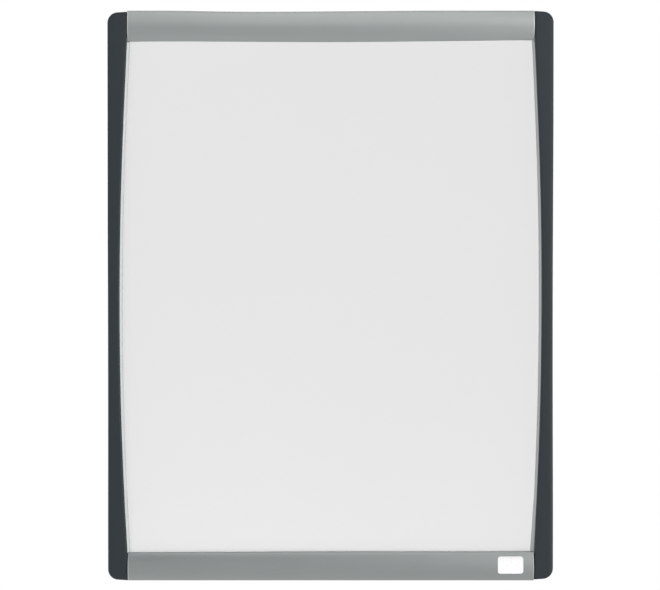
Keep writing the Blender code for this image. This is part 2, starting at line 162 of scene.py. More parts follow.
# Light: a bright, even studio. One broad soft box above the camera, fills that light matt
# surfaces only, and cards that only show as reflections, in a world with a few wide glows.
def area_light(name, place, size, power, colour=(1.0, 1.0, 1.0), towards=(0, 0, 0)):
    data = bpy.data.lights.new(name, "AREA")
    data.shape = "RECTANGLE"
    data.size, data.size_y = size
    data.energy = power
    data.color = colour
    made = bpy.data.objects.new(name, data)
    made.location = place
    made.rotation_euler = (
        (Vector(towards) - Vector(place)).to_track_quat("-Z", "Y").to_euler()
    )
    scene.collection.objects.link(made)
    return made


BOTH, GLOSS, MATT = (True, True), (False, True), (True, False)
SOFT_BOXES = [  # (name, place, size, power, diffuse and glossy)
    ("broad_front", (0.0, -1.6, 0.5), (1.6, 1.0), 1.479, BOTH),
    ("front_fill", (0.0, -1.90, -0.50), (0.6, 0.4), 19.35, MATT),
    ("left_fill", (-1.0, -0.80, 0.0), (0.4, 0.6), 0.522, MATT),
    ("low_fill", (0.0, -0.80, -0.80), (0.5, 0.4), 0.769, MATT),
    ("high_fill", (-0.5, -0.90, 0.80), (0.5, 0.4), 0.809, MATT),
    ("upper_card", (0.0, -0.50, 0.30), (0.4, 0.2), 0.164, GLOSS),
    ("high_card", (0.0, -0.40, 0.50), (0.5, 0.2), 0.601, GLOSS),
    ("zenith_card", (0.0, -0.15, 0.70), (1.2, 0.2), 1.827, GLOSS),
    ("right_card", (0.35, -0.50, 0.0), (0.3, 0.3), 0.405, GLOSS),
    ("upper_right_card", (0.35, -0.50, 0.25), (0.3, 0.2), 0.529, GLOSS),
    ("low_right_card", (0.45, -0.50, -0.30), (0.3, 0.3), 0.288, GLOSS),
    ("right_side_card", (1.1, -0.45, 0.0), (0.8, 1.2), 7.300, GLOSS),
    ("left_side_card", (-1.1, -0.45, 0.0), (0.8, 1.2), 3.711, GLOSS),
]
for name, place, size, power, (diffuse, glossy) in SOFT_BOXES:
    soft_box = area_light(name, place, size, power)
    soft_box.visible_camera = False
    soft_box.visible_diffuse = diffuse
    soft_box.visible_glossy = glossy

# Wide glows of the surroundings: (direction, sharpness, strength). The last two light the
# back.
LOBES = [
    ((0.0, -1.0, 0.05), 6.0, 0.732),
    ((-0.5, -0.8, -0.5), 4.0, 0.482),
    ((0.0, -0.3, -1.0), 3.0, 0.814),
    ((-0.5, -0.3, -1.0), 3.0, 0.533),
    ((0.95, 0.2, 0.1), 6.0, 1.900),
    ((-0.35, 0.90, 0.30), 2.0, 1.15),
    ((-0.85, 0.50, 0.10), 3.0, 0.60),
]
AMBIENT = 0.0


def maths(tree, operation, *values):
    made = tree.nodes.new("ShaderNodeMath")
    made.operation = operation
    for slot, value in enumerate(values):
        if isinstance(value, (int, float)):
            made.inputs[slot].default_value = value
        else:
            tree.links.new(value, made.inputs[slot])
    return made.outputs[0]


world = bpy.data.worlds.new("studio")
scene.world = world
world.use_nodes = True
tree = world.node_tree
tree.nodes.clear()
direction = tree.nodes.new("ShaderNodeTexCoord").outputs["Generated"]
level = AMBIENT
for towards, sharpness, strength in LOBES:
    cosine = tree.nodes.new("ShaderNodeVectorMath")
    cosine.operation = "DOT_PRODUCT"
    cosine.inputs[1].default_value = Vector(towards).normalized()
    tree.links.new(direction, cosine.inputs[0])
    lobe = maths(tree, "POWER", maths(tree, "MAXIMUM", cosine.outputs["Value"], 0.0), sharpness)
    level = maths(tree, "MULTIPLY_ADD", lobe, strength, level)
lighting = tree.nodes.new("ShaderNodeBackground")
tree.links.new(level, lighting.inputs["Strength"])
backdrop = tree.nodes.new("ShaderNodeBackground")
backdrop.inputs["Color"].default_value = (1.0, 1.0, 1.0, 1.0)
backdrop.inputs["Strength"].default_value = 1.0
path = tree.nodes.new("ShaderNodeLightPath")
choose = tree.nodes.new("ShaderNodeMixShader")
world_out = tree.nodes.new("ShaderNodeOutputWorld")
tree.links.new(path.outputs["Is Camera Ray"], choose.inputs["Fac"])
tree.links.new(lighting.outputs[0], choose.inputs[1])
tree.links.new(backdrop.outputs[0], choose.inputs[2])
tree.links.new(choose.outputs[0], world_out.inputs["Surface"])


# Materials
def shader_of(name):
    made = bpy.data.materials.new(name)
    made.use_nodes = True
    return made, made.node_tree, made.node_tree.nodes["Principled BSDF"]


def node(tree, kind, **settings):
    made = tree.nodes.new(kind)
    for key, value in settings.items():
        setattr(made, key, value)
    return made


def position(tree, scale=(1.0, 1.0, 1.0)):
    """Object coordinates times a scale, so that a pattern keeps its real size."""
    where = node(tree, "ShaderNodeTexCoord")
    mapping = node(tree, "ShaderNodeMapping")
    mapping.inputs["Scale"].default_value = scale
    tree.links.new(where.outputs["Object"], mapping.inputs["Vector"])
    return mapping.outputs["Vector"]


def noise_of(tree, scale, detail=3.0, stretch=(1.0, 1.0, 1.0), rough=0.5):
    made = node(tree, "ShaderNodeTexNoise")
    made.inputs["Scale"].default_value = scale
    made.inputs["Detail"].default_value = detail
    made.inputs["Roughness"].default_value = rough
    tree.links.new(position(tree, stretch), made.inputs["Vector"])
    return made.outputs["Fac"]


def ranged(tree, value, low, high, from_low=0.0, from_high=1.0):
    made = node(tree, "ShaderNodeMapRange")
    made.inputs["From Min"].default_value = from_low
    made.inputs["From Max"].default_value = from_high
    made.inputs["To Min"].default_value = low
    made.inputs["To Max"].default_value = high
    tree.links.new(value, made.inputs["Value"])
    return made.outputs["Result"]


def blended(tree, factor, first, second):
    made = node(tree, "ShaderNodeMix", data_type="RGBA")
    tree.links.new(factor, made.inputs["Factor"])
    made.inputs["A"].default_value = (*first, 1.0)
    made.inputs["B"].default_value = (*second, 1.0)
    return made.outputs["Result"]


def bumped(tree, height, distance, strength=1.0, normal=None):
    made = node(tree, "ShaderNodeBump")
    made.inputs["Strength"].default_value = strength
    made.inputs["Distance"].default_value = distance
    tree.links.new(height, made.inputs["Height"])
    if normal is not None:
        tree.links.new(normal, made.inputs["Normal"])
    return made.outputs["Normal"]


def enamel():
    made, tree, shader = shader_of("white_enamel_steel")
    broad = noise_of(tree, 9.0, 2.0)
    tree.links.new(
        blended(tree, broad, (0.737, 0.737, 0.736), (0.751, 0.751, 0.750)),
        shader.inputs["Base Color"],
    )
    wipes = noise_of(tree, 900.0, 3.0, (0.06, 1.0, 1.0))
    tree.links.new(ranged(tree, wipes, 0.15, 0.25), shader.inputs["Roughness"])
    peel = noise_of(tree, 420.0, 2.0)
    tree.links.new(bumped(tree, peel, 0.004 * MM), shader.inputs["Normal"])
    shader.inputs["Coat Weight"].default_value = 0.25
    shader.inputs["Coat Roughness"].default_value = 0.06
    return made


def satin_silver(name, dark, light, along, metallic=0.85, rough=(0.34, 0.44), end_highlight_x=None):
    """Satin silver finish with fine drawn lines. along is the stretch that makes lines run
    lengthwise, and beyond end_highlight_x from the middle the colour is lighter, a painted highlight
    on the ends."""
    made, tree, shader = shader_of(name)
    lines = noise_of(tree, 2600.0, 4.0, along, 0.65)
    cloud = noise_of(tree, 24.0, 3.0)
    grain = noise_of(tree, 5200.0, 2.0)
    both = node(tree, "ShaderNodeMath", operation="MULTIPLY_ADD")
    both.inputs[1].default_value = 0.6
    tree.links.new(lines, both.inputs[0])
    tree.links.new(ranged(tree, cloud, 0.0, 0.4), both.inputs[2])
    colour = blended(tree, both.outputs[0], dark, light)
    # Painted highlight: the rail's ends are coloured lighter, standing in for the light their edges
    # catch.
    if end_highlight_x:
        where = node(tree, "ShaderNodeTexCoord")
        split = node(tree, "ShaderNodeSeparateXYZ")
        tree.links.new(where.outputs["Object"], split.inputs[0])
        far = maths(tree, "ABSOLUTE", maths(tree, "SUBTRACT", split.outputs["X"], 0.2 * MM))
        end_highlight = node(tree, "ShaderNodeMix", data_type="RGBA")
        tree.links.new(
            ranged(tree, far, 0.0, 1.0, end_highlight_x, end_highlight_x + 0.15 * MM), end_highlight.inputs["Factor"]
        )
        tree.links.new(colour, end_highlight.inputs["A"])
        end_highlight.inputs["B"].default_value = (0.430, 0.437, 0.437, 1.0)
        colour = end_highlight.outputs["Result"]
    tree.links.new(colour, shader.inputs["Base Color"])
    tree.links.new(ranged(tree, lines, *rough), shader.inputs["Roughness"])
    normal = bumped(tree, lines, 0.003 * MM)
    tree.links.new(
        bumped(tree, grain, 0.002 * MM, normal=normal), shader.inputs["Normal"]
    )
    shader.inputs["Metallic"].default_value = metallic
    return made


def moulded(name, dark, light, rough, grain_size=0.35 * MM, depth=0.012 * MM):
    """Moulded plastic: spark-eroded grain, slight flow mottling and a soft sheen."""
    made, tree, shader = shader_of(name)
    mottle = noise_of(tree, 42.0, 4.0)
    fleck = noise_of(tree, 1.0 / grain_size, 2.0)
    both = node(tree, "ShaderNodeMath", operation="MULTIPLY_ADD")
    both.inputs[1].default_value = 0.35
    tree.links.new(fleck, both.inputs[0])
    tree.links.new(ranged(tree, mottle, 0.0, 0.65), both.inputs[2])
    tree.links.new(
        blended(tree, both.outputs[0], dark, light), shader.inputs["Base Color"]
    )
    tree.links.new(ranged(tree, mottle, *rough, 0.3, 0.7), shader.inputs["Roughness"])
    tree.links.new(bumped(tree, fleck, depth), shader.inputs["Normal"])
    shader.inputs["Specular IOR Level"].default_value = 0.26
    return made


def galvanised(name):
    """Zinc-coated sheet: crystal spangle in tone and gloss, with fine rolling marks."""
    made, tree, shader = shader_of(name)
    cells = node(tree, "ShaderNodeTexVoronoi", feature="F1")
    cells.inputs["Scale"].default_value = 130.0
    cells.inputs["Randomness"].default_value = 1.0
    warp = node(tree, "ShaderNodeVectorMath", operation="MULTIPLY_ADD")
    bend = node(tree, "ShaderNodeTexNoise")
    bend.inputs["Scale"].default_value = 160.0
    tree.links.new(position(tree), bend.inputs["Vector"])
    tree.links.new(bend.outputs["Color"], warp.inputs[0])
    warp.inputs[1].default_value = (0.006, 0.006, 0.006)
    tree.links.new(position(tree), warp.inputs[2])
    tree.links.new(warp.outputs[0], cells.inputs["Vector"])
    split = node(tree, "ShaderNodeSeparateColor")
    tree.links.new(cells.outputs["Color"], split.inputs[0])
    tone = split.outputs[0]
    tree.links.new(
        blended(tree, tone, (0.50, 0.52, 0.53), (0.62, 0.64, 0.655)),
        shader.inputs["Base Color"],
    )
    tree.links.new(ranged(tree, split.outputs[1], 0.34, 0.52), shader.inputs["Roughness"])
    rolled = noise_of(tree, 1800.0, 3.0, (1.0, 1.0, 0.04))
    tree.links.new(bumped(tree, rolled, 0.004 * MM), shader.inputs["Normal"])
    shader.inputs["Metallic"].default_value = 0.85
    return made


def fibre(name):
    made, tree, shader = shader_of(name)
    strands = noise_of(tree, 900.0, 6.0, (0.25, 1.0, 0.25), 0.7)
    tree.links.new(
        blended(tree, strands, (0.24, 0.165, 0.10), (0.46, 0.36, 0.25)),
        shader.inputs["Base Color"],
    )
    tree.links.new(bumped(tree, strands, 0.05 * MM), shader.inputs["Normal"])
    shader.inputs["Roughness"].default_value = 0.92
    return made


def closed_foam(name):
    """Closed-cell foam: small cells in the sides, a dry matt adhesive face."""
    made, tree, shader = shader_of(name)
    cells = node(tree, "ShaderNodeTexVoronoi", feature="F1")
    cells.inputs["Scale"].default_value = 2600.0
    tree.links.new(position(tree), cells.inputs["Vector"])
    broad = noise_of(tree, 120.0, 3.0)
    tree.links.new(
        blended(tree, broad, (0.70, 0.70, 0.67), (0.80, 0.80, 0.775)),
        shader.inputs["Base Color"],
    )
    tree.links.new(
        bumped(tree, cells.outputs["Distance"], 0.09 * MM, 0.8), shader.inputs["Normal"]
    )
    tree.links.new(ranged(tree, broad, 0.75, 0.92), shader.inputs["Roughness"])
    return made


def zinc_plate(name):
    made, tree, shader = shader_of(name)
    turning = noise_of(tree, 3000.0, 2.0, (1.0, 1.0, 1.0))
    tint = noise_of(tree, 350.0, 2.0)
    tree.links.new(
        blended(tree, tint, (0.60, 0.60, 0.585), (0.72, 0.73, 0.74)),
        shader.inputs["Base Color"],
    )
    tree.links.new(ranged(tree, turning, 0.22, 0.36), shader.inputs["Roughness"])
    tree.links.new(bumped(tree, turning, 0.004 * MM), shader.inputs["Normal"])
    shader.inputs["Metallic"].default_value = 1.0
    return made


def vinyl(name):
    made, tree, shader = shader_of(name)
    soft = noise_of(tree, 700.0, 2.0)
    tree.links.new(
        blended(tree, soft, (0.955, 0.955, 0.955), (0.97, 0.97, 0.97)),
        shader.inputs["Base Color"],
    )
    tree.links.new(ranged(tree, soft, 0.24, 0.32), shader.inputs["Roughness"])
    tree.links.new(bumped(tree, soft, 0.003 * MM), shader.inputs["Normal"])
    return made


ENAMEL = enamel()
SILVER = satin_silver(
    "satin_silver_rail",
    (0.285, 0.303, 0.300),
    (0.335, 0.354, 0.351),
    (0.012, 1.0, 1.0),
    # Lighter ends: a painted highlight where the rails' ends catch the light.
    end_highlight_x=127.05 * MM,
)
LIP = satin_silver(
    "satin_silver_lip",
    (0.303, 0.315, 0.315),
    (0.351, 0.363, 0.363),
    (1.0, 1.0, 0.012),
    0.85,
    (0.36, 0.46),
)
CHARCOAL = moulded(
    "charcoal_moulding", (0.0165, 0.0235, 0.0275), (0.0225, 0.0300, 0.0345), (0.40, 0.50)
)
BLACK = moulded("black_moulding", (0.016, 0.016, 0.017), (0.028, 0.028, 0.029), (0.45, 0.6))
ZINC_SHEET = galvanised("galvanised_sheet")
FIBRE = fibre("fibre_core")
FOAM = closed_foam("closed_cell_foam")
SCREW_METAL = zinc_plate("zinc_plated_screw")
LABEL = vinyl("plain_white_label")


# Mesh tools
def linked(name, mesh):
    made = bpy.data.objects.new(name, mesh)
    scene.collection.objects.link(made)
    return made


def mesh_of(name, bm):
    bmesh.ops.recalc_face_normals(bm, faces=bm.faces)
    mesh = bpy.data.meshes.new(name)
    bm.to_mesh(mesh)
    bm.free()
    return mesh


def bridged(name, rings, caps=True):
    """A closed mesh through rings of the same number of points. Its two ends get one face each."""
    bm = bmesh.new()
    made = [[bm.verts.new(p) for p in ring] for ring in rings]
    count = len(made[0])
    for low, high in zip(made, made[1:]):
        for i in range(count):
            j = (i + 1) % count
            bm.faces.new((low[i], low[j], high[j], high[i]))
    if caps:
        bm.faces.new(made[0])
        bm.faces.new(made[-1])
    return mesh_of(name, bm)


def evaluated(obj):
    """The mesh of an object with its modifiers, which then goes."""
    bpy.context.view_layer.update()
    graph = bpy.context.evaluated_depsgraph_get()
    mesh = bpy.data.meshes.new_from_object(obj.evaluated_get(graph))
    bpy.data.objects.remove(obj, do_unlink=True)
    return mesh


def carved(obj, tools):
    """obj with (operation, object) tools applied one after another."""
    for operation, tool in tools:
        modifier = obj.modifiers.new(operation.lower(), "BOOLEAN")
        modifier.operation = operation
        modifier.solver = "EXACT"
        modifier.object = tool
    name = obj.name
    mesh = evaluated(obj)
    for _, tool in tools:
        bpy.data.objects.remove(tool, do_unlink=True)
    mesh.name = name
    return mesh


def cleaned(mesh, distance=1e-6):
    bm = bmesh.new()
    bm.from_mesh(mesh)
    bmesh.ops.remove_doubles(bm, verts=bm.verts, dist=distance)
    bmesh.ops.dissolve_degenerate(bm, edges=bm.edges, dist=distance)
    bmesh.ops.recalc_face_normals(bm, faces=bm.faces)
    bm.to_mesh(mesh)
    bm.free()
    return mesh


def softened(mesh, width, segments=2, angle=35.0):
    """The mesh with its edges sharper than angle rounded."""
    helper = linked("softening", mesh)
    bevel = helper.modifiers.new("edges", "BEVEL")
    bevel.limit_method = "ANGLE"
    bevel.angle_limit = math.radians(angle)
    bevel.width = width
    bevel.segments = segments
    bevel.use_clamp_overlap = True
    bevel.harden_normals = False
    return evaluated(helper)


def piece(name, mesh, material, nodes, smooth=30.0):
    mesh.materials.clear()
    mesh.materials.append(material)
    mesh.shade_smooth()
    if smooth:
        mesh.set_sharp_from_angle(angle=math.radians(smooth))
    made = linked(name, mesh)
    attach(made, "root")
    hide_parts(*nodes)
    return made


def box_tool(low, high):
    low, high = Vector(low), Vector(high)
    bm = bmesh.new()
    bmesh.ops.create_cube(bm, size=1.0)
    bmesh.ops.scale(bm, vec=high - low, verts=bm.verts)
    bmesh.ops.translate(bm, vec=(low + high) / 2, verts=bm.verts)
    return linked("tool", mesh_of("tool", bm))


def rod_tool(x, z, radius, y_low, y_high, sides=48, radius_rear=None):
    bm = bmesh.new()
    bmesh.ops.create_cone(
        bm,
        cap_ends=True,
        segments=sides,
        radius1=radius if radius_rear is None else radius_rear,
        radius2=radius,
        depth=y_high - y_low,
        matrix=Matrix.Translation((x, (y_low + y_high) / 2, z))
        @ Matrix.Rotation(math.pi / 2, 4, "X"),
    )
    return linked("tool", mesh_of("tool", bm))


def prism(name, outline, y_front, y_rear):
    """A front-view outline of (x, z) points, extruded along Y."""
    rings = [[(x, y, z) for x, z in outline] for y in (y_front, y_rear)]
    return bridged(name, rings)


def filleted(points, radii, steps=8):
    result = []
    count = len(points)
    for i, (corner, radius) in enumerate(zip(points, radii)):
        here = Vector(corner)
        if not radius:
            result.append(tuple(here))
            continue
        before = (Vector(points[i - 1]) - here).normalized()
        after = (Vector(points[(i + 1) % count]) - here).normalized()
        half = before.angle(after) / 2
        reach = radius / math.tan(half)
        centre = here + (before + after).normalized() * (radius / math.sin(half))
        first = here + before * reach - centre
        last = here + after * reach - centre
        turn = math.atan2(first.cross(last), first.dot(last))
        for step in range(steps + 1):
            c, s = math.cos(turn * step / steps), math.sin(turn * step / steps)
            result.append(
                (centre.x + first.x * c - first.y * s, centre.y + first.x * s + first.y * c)
            )
    return result


def inset_ring(points, amount):
    """A closed 2D outline moved inwards by amount along its corner normals."""
    count = len(points)
    area = sum(
        points[i][0] * points[(i + 1) % count][1]
        - points[(i + 1) % count][0] * points[i][1]
        for i in range(count)
    )
    sign = 1.0 if area > 0 else -1.0
    moved = []
    for i, here in enumerate(points):
        before = (Vector(here) - Vector(points[i - 1])).normalized()
        after = (Vector(points[(i + 1) % count]) - Vector(here)).normalized()
        n1 = Vector((-before.y, before.x)) * sign
        n2 = Vector((-after.y, after.x)) * sign
        middle = (n1 + n2).normalized()
        scale = 1.0 / max(middle.dot(n1), 0.35)
        moved.append(tuple(Vector(here) + middle * amount * scale))
    return moved


def arc_x(z):
    return X_MID - (ARC_RADIUS - math.sqrt(ARC_RADIUS**2 - z**2))


# Writing sheet and backing sheet: thin sheets that are flat to a few hundredths of a
# millimetre, as glued steel is, with that much unevenness in the mesh.
def sheet_mesh(name, y_front, thickness, uneven, seed, rear=False, inset=0.0):
    x_out, z_out = PANEL_HALF_WIDTH - inset, PANEL_HALF_HEIGHT - inset

    def lines(limit, notch, step):
        inner = max(2, round(2 * notch / step))
        edge = max(2, round((limit - notch) / step))
        values = [-limit + (limit - notch) * i / edge for i in range(edge)]
        values += [-notch + 2 * notch * i / inner for i in range(inner + 1)]
        values += [notch + (limit - notch) * i / edge for i in range(1, edge + 1)]
        return values

    xs, zs = lines(x_out, NOTCH_X, 3.6 * MM), lines(z_out, NOTCH_Z, 3.6 * MM)
    bm = bmesh.new()
    verts = {}
    for i, x in enumerate(xs):
        for k, z in enumerate(zs):
            hold = min(1.0, (x_out - abs(x)) / (25 * MM), (z_out - abs(z)) / (25 * MM))
            wave = noise.noise(Vector((x * 11.0, z * 11.0, seed)))
            wave += 0.35 * noise.noise(Vector((x * 31.0, z * 31.0, seed + 7.0)))
            verts[i, k] = bm.verts.new((x, y_front + uneven * wave * max(hold, 0.0), z))
    for i in range(len(xs) - 1):
        for k in range(len(zs) - 1):
            mid_x = abs(xs[i] + xs[i + 1]) / 2
            mid_z = abs(zs[k] + zs[k + 1]) / 2
            if mid_x > NOTCH_X and mid_z > NOTCH_Z:
                continue
            bm.faces.new((verts[i, k], verts[i + 1, k], verts[i + 1, k + 1], verts[i, k + 1]))
    for vert in [v for v in bm.verts if not v.link_faces]:
        bm.verts.remove(vert)
    faces = list(bm.faces)
    extruded = bmesh.ops.extrude_face_region(bm, geom=faces)
    moved = [g for g in extruded["geom"] if isinstance(g, bmesh.types.BMVert)]
    bmesh.ops.translate(bm, vec=(0, thickness, 0), verts=moved)
    return mesh_of(name, bm)


piece(
    "writing_surface",
    sheet_mesh("writing_surface", Y_SHEET_FRONT, 0.4 * MM, 0.03 * MM, 3.0),
    ENAMEL,
    ["writing_sheet"],
    40.0,
)
piece(
    "backing_sheet",
    sheet_mesh("backing_sheet", -3.6 * MM, 0.4 * MM, 0.06 * MM, 11.0, inset=0.1 * MM),
    ZINC_SHEET,
    ["back_sheet"],
    40.0,
)


# Top and bottom rails: extruded section with a convex front, ends eased all round, and the
# inner corners of the ends rounded in the front view.
def crest_y(radius, z):
    return Y_RAIL_CREST + CREST_RADIUS - math.sqrt(radius**2 - (z - CREST_Z) ** 2)


def between(points, place):
    """A smooth value in metres at a place in metres, from (place, value) points in mm."""
    place = min(max(place / MM, points[0][0]), points[-1][0])
    slopes = [0.0]
    for (low, a), (high, b) in zip(points, points[2:]):
        slopes.append((b - a) / (high - low))
    slopes.append(0.0)
    for i, ((low, a), (high, b)) in enumerate(zip(points, points[1:])):
        if place <= high:
            span = high - low
            t = (place - low) / span
            step = t * t * (3 - 2 * t)
            bend = slopes[i] * t * (1 - t) ** 2 - slopes[i + 1] * t * t * (1 - t)
            return (a + (b - a) * step + bend * span) * MM
    return points[-1][1] * MM


def nearer(side, z):
    return between(NEARER[side], z)


def straight_rail(name, node_name, up):
    inner = CREST_RADIUS - 1.6 * MM
    inner_z = RAIL_INNER_Z + (LOWERED_BOTTOM if up < 0 else -LOWERED_TOP)
    wall_in = RAIL_INNER_Z + 2.6 * MM
    wall_out = HALF_HEIGHT - 1.8 * MM
    web_low, web_high = (169.6 - 3.2) * MM, (169.6 + 3.2) * MM

    def crest(radius, z_from, z_to, steps):
        heights = [z_from + (z_to - z_from) * i / steps for i in range(1, steps)]
        return [(crest_y(radius, z), z) for z in heights]

    # The arc's own ends lie a little inside the corners, so that the corner rounds fit.
    front = crest(CREST_RADIUS, HALF_HEIGHT - 1.2 * MM, inner_z + 1.0 * MM, 44)
    section = [
        (Y_FRAME_REAR, HALF_HEIGHT),
        (crest_y(CREST_RADIUS, HALF_HEIGHT), HALF_HEIGHT),
        *front,
        (crest_y(CREST_RADIUS, inner_z), inner_z),
        (Y_ON_SHEET, inner_z),
        (Y_ON_SHEET, wall_in),
        (crest_y(inner, wall_in), wall_in),
        *crest(inner, wall_in, web_low, 4),
        (crest_y(inner, web_low), web_low),
        (Y_ON_SHEET, web_low),
        (Y_ON_SHEET, web_high),
        (crest_y(inner, web_high), web_high),
        *crest(inner, web_high, wall_out, 4),
        (crest_y(inner, wall_out), wall_out),
        (Y_FLANGE_FRONT, wall_out),
        (Y_FLANGE_FRONT, wall_out - 4.2 * MM),
        (Y_FRAME_REAR, wall_out - 4.2 * MM),
    ]
    # Only the corners that show are rounded, each by more than the ends are eased.
    radii = [0.5 * MM, 0.8 * MM] + [0] * len(front) + [0.7 * MM]
    radii += [0] * (len(section) - len(radii))
    section = filleted(section, radii, 8)

    ease, round_r = 0.3 * MM, 0.6 * MM
    quarter = [math.pi / 2 * step / 6 for step in range(6, -1, -1)]
    stations = [(ease - ease * math.sin(a), ease * (1 - math.cos(a))) for a in quarter]
    stations += [(ease + (round_r - ease) * s / 8, 0.0) for s in range(1, 9)]
    middle = [x * MM for x in (124, 118, 108, *range(100, 0, -10))]
    x_end = {side: X_END - 0.15 * MM - nearer(side, up * 170 * MM) for side in (-1, 1)}
    whole = [(depth - x_end[-1], amount) for depth, amount in stations]
    whole += [(-x, 0.0) for x in middle] + [(0.0, 0.0)] + [(x, 0.0) for x in reversed(middle)]
    whole += [(x_end[1] - depth, amount) for depth, amount in reversed(stations)]
    rings = []
    for x, amount in whole:
        ring = inset_ring(section, amount) if amount else section
        into_end = abs(x) - (x_end[1 if x > 0 else -1] - round_r)
        lift = 0.0
        if into_end > 0:
            lift = round_r - math.sqrt(max(round_r**2 - min(into_end, round_r) ** 2, 0.0))
        placed = []
        outer_up, inner_up = (between(RAISED[edge, up], x) for edge in ("outer", "inner"))
        for y, z in ring:
            weight = max(0.0, 1.0 - (z - inner_z) / (3.0 * MM))
            share = min(max((z - inner_z) / (HALF_HEIGHT - inner_z), 0.0), 1.0)
            if y > Y_ON_SHEET + 0.1 * MM:
                share = 1.0
            raised = share * outer_up + (1 - share) * inner_up
            placed.append((x, y, up * (z + 0.35 * lift * min(1.0, weight) ** 2) + raised))
        rings.append(placed)
    body = linked(name, bridged(name, rings))
    tools = []
    for side in (-1, 1):
        xs = sorted((side * 108 * MM, side * 130 * MM))
        zs = sorted((up * (wall_out - 5.2 * MM), up * (wall_out + 0.001 * MM)))
        tools.append(
            (
                "DIFFERENCE",
                box_tool(
                    (xs[0], Y_FLANGE_FRONT - 0.2 * MM, zs[0]), (xs[1], 1 * MM, zs[1])
                ),
            )
        )
    mesh = cleaned(carved(body, tools))
    return piece(name, mesh, SILVER, [node_name], 32.0)


straight_rail("top_rail_shell", "top_rail", 1)
straight_rail("bottom_rail_shell", "bottom_rail", -1)


# Side rails: the front outline in rings that shrink towards the front, which rounds the rim
# and crowns the face, then hollowed from behind as the frame's is.
RIM = [  # (inset, inset of the right rail's outer edge, distance behind the front)
    (0.0, 0.0, 2.2),
    (0.0, 0.187, 1.55),
    (0.03, 0.377, 1.18),
    (0.12, 0.631, 0.84),
    (0.27, 0.936, 0.55),
    (0.47, 1.259, 0.33),
    (0.72, 1.544, 0.19),
    (1.02, 1.80, 0.115),
    (1.45, 2.12, 0.07),
    (2.1, 2.60, 0.03),
    (2.9, 3.25, 0.006),
    (3.3, 3.65, 0.0),
]


# How hollow the side rails' outer edges are: (depth, height of the deepest place, reach).
HOLLOW = {-1: (0.12 * MM, -50 * MM, 95 * MM), 1: (0.32 * MM, -14 * MM, 126 * MM)}


def side_outline(side, amount, amount_outside):
    """The side rail's front outline shrunk by amount, and its outer edge by amount_outside,
    with the same points for every amount. Its ends fall away slightly towards the outer
    corners."""
    steps = 72
    top = SIDE_HALF_HEIGHT + 0.15 * MM - amount
    low = top - 0.75 * MM
    outer = HALF_WIDTH - amount_outside
    big = CORNER_RADIUS - amount_outside
    small = 0.35 * MM
    arc = []
    for i in range(steps + 1):
        z = RAIL_INNER_Z * (1 - 2 * i / steps)
        arc.append((arc_x(z) - nearer(side, z) + amount, z))
    above, below = (X_END - nearer(side, up * SIDE_HALF_HEIGHT) + amount for up in (1, -1))
    depth, place, reach = HOLLOW[side]
    edge = []
    for i in range(1, 40):
        z = (-160 + 8 * i) * MM
        edge.append((outer - depth * max(0.0, 1 - ((z - place) / reach) ** 2) ** 1.5, z))
    points = [(below, -top), (outer, -low), *edge, (outer, low), (above, top), *arc]
    radii = [small, big] + [0] * len(edge) + [big, small] + [0] * len(arc)
    return [(side * x, z) for x, z in filleted(points, radii, 12)]


def side_rail(name, node_name, side, shift):
    """shift is how far up the rail was pushed on when the frame was put together."""

    def ring(amount, y, amount_outside=None):
        outside = amount if amount_outside is None else amount_outside
        return [(x, y, z + shift) for x, z in side_outline(side, amount, outside)]

    rings = [ring(0.25 * MM, Y_FRAME_REAR), ring(0.0, Y_FRAME_REAR - 0.25 * MM)]
    for amount, amount_right, behind in RIM:
        outside = amount_right if side > 0 else amount
        rings.append(ring(amount * MM, Y_SIDE_FRONT + behind * MM, outside * MM))
    body = linked(name, bridged(name, rings))

    wall_x, wall_z, inside = HALF_WIDTH - 2.4 * MM, SIDE_HALF_HEIGHT - 2.2 * MM, 3.6 * MM
    shell = [(120 * MM, -wall_z), (wall_x, -wall_z), (wall_x, wall_z), (120 * MM, wall_z)]
    shell = [(side * x, z) for x, z in filleted(shell, [0, inside, inside, 0], 10)]
    groove = linked("tool", prism("tool", shell, Y_ON_SHEET - 1.3 * MM, 1 * MM))
    x_a, x_b = side * (wall_x - 3.6 * MM), side * (wall_x + 1 * MM)
    flange = box_tool(
        (min(x_a, x_b), Y_FLANGE_FRONT, -150 * MM),
        (max(x_a, x_b), Y_FRAME_REAR - 0.1 * MM, 150 * MM),
    )
    mesh = cleaned(carved(body, [("DIFFERENCE", groove), ("UNION", flange)]))
    return piece(name, mesh, CHARCOAL, [node_name], 28.0)


side_rail("left_side_shell", "left_side_rail", -1, -0.30 * MM)
side_rail("right_side_shell", "right_side_rail", 1, 0.20 * MM)


# Lips: the sloped strip beside the sheet, swept along the side rail's arc. The right one
# gets wider towards its foot.
LIP_WIDTH = {-1: 1.0, 1: 0.92}
WIDER_FOOT = {-1: 0.0, 1: 0.48}


